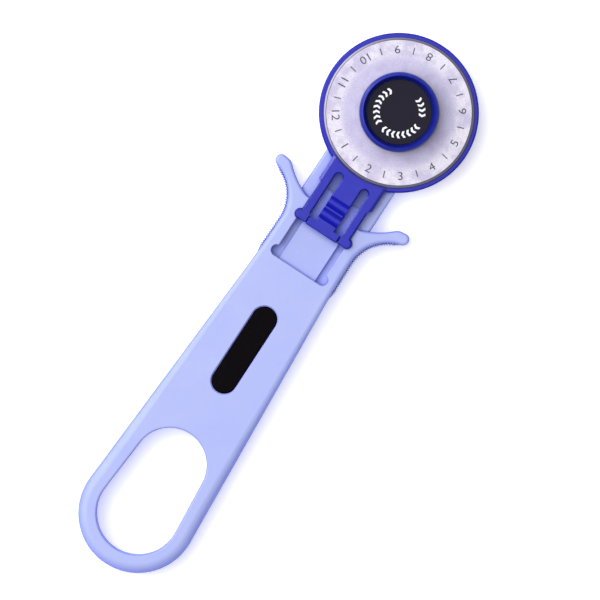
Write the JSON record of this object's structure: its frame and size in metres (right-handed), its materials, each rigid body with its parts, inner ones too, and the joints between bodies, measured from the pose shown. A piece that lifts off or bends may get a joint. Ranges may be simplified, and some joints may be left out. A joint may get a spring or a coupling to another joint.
{
  "type": "rotary paper trimmer",
  "caption": "Rotary paper trimmer with a round blade, a sliding guard with a thumb tab, a clamping knob and a flat handle that ends in a finger loop.",
  "frame": {"origin": "middle of the tool's length and width, on its flat back face", "axes": "+Y towards the blade end, +Z from the back face towards the knob, +X across the tool"},
  "size_m": [0.0298, 0.1154, 0.0119],
  "materials": {
    "handle_plastic": "satin ABS",
    "guard_plastic": "gloss ABS",
    "knob_plastic": "gloss ABS",
    "black_plastic": "satin",
    "inlay_rubber": "matt",
    "blade_steel": "fine ground",
    "hardware_steel": "zinc plated",
    "brass": "machined"
  },
  "bodies": {
    "handle": {"handle_front_shell": "handle_plastic", "handle_back_shell": "handle_plastic", "handle_screws": "hardware_steel", "grip_inlay": "inlay_rubber", "axle_bolt": "hardware_steel", "axle_bush": "brass", "blade_backing_washer": "hardware_steel", "blade_pressure_washer": "hardware_steel"},
    "guard": {"guard_body": "guard_plastic", "detent_tip_left": "guard_plastic", "detent_tip_right": "guard_plastic"},
    "blade": {"blade": "blade_steel"},
    "knob_spring": {"spring_washer": "hardware_steel"},
    "knob": {"knob_body": "knob_plastic", "knob_nut": "brass", "knob_cap": "black_plastic", "washer_retaining_ring": "hardware_steel"}
  },
  "joints": [
    {"name": "guard_slide", "type": "slide", "parent": "handle", "child": "guard", "axis": [0, -1, 0], "range_m": [0, 0.0081], "deforming": ["detent_tip_left", "detent_tip_right"]},
    {"name": "blade_spin", "type": "hinge", "parent": "handle", "child": "blade", "pos_m": [0, 0.04272, 0.00648], "axis": [0, 0, 1], "continuous": true},
    {"name": "knob_lift", "type": "slide", "parent": "handle", "child": "knob_spring", "axis": [0, 0, 1], "range_m": [0, 0.00175]},
    {"name": "knob_turn", "type": "hinge", "parent": "knob_spring", "child": "knob", "pos_m": [0, 0.04272, 0.009], "axis": [0, 0, 1], "range_deg": [0, 900]}
  ],
  "couplings": [
    {"joint": "knob_turn", "follows": "knob_lift", "rad_per_m": 8976}
  ]
}
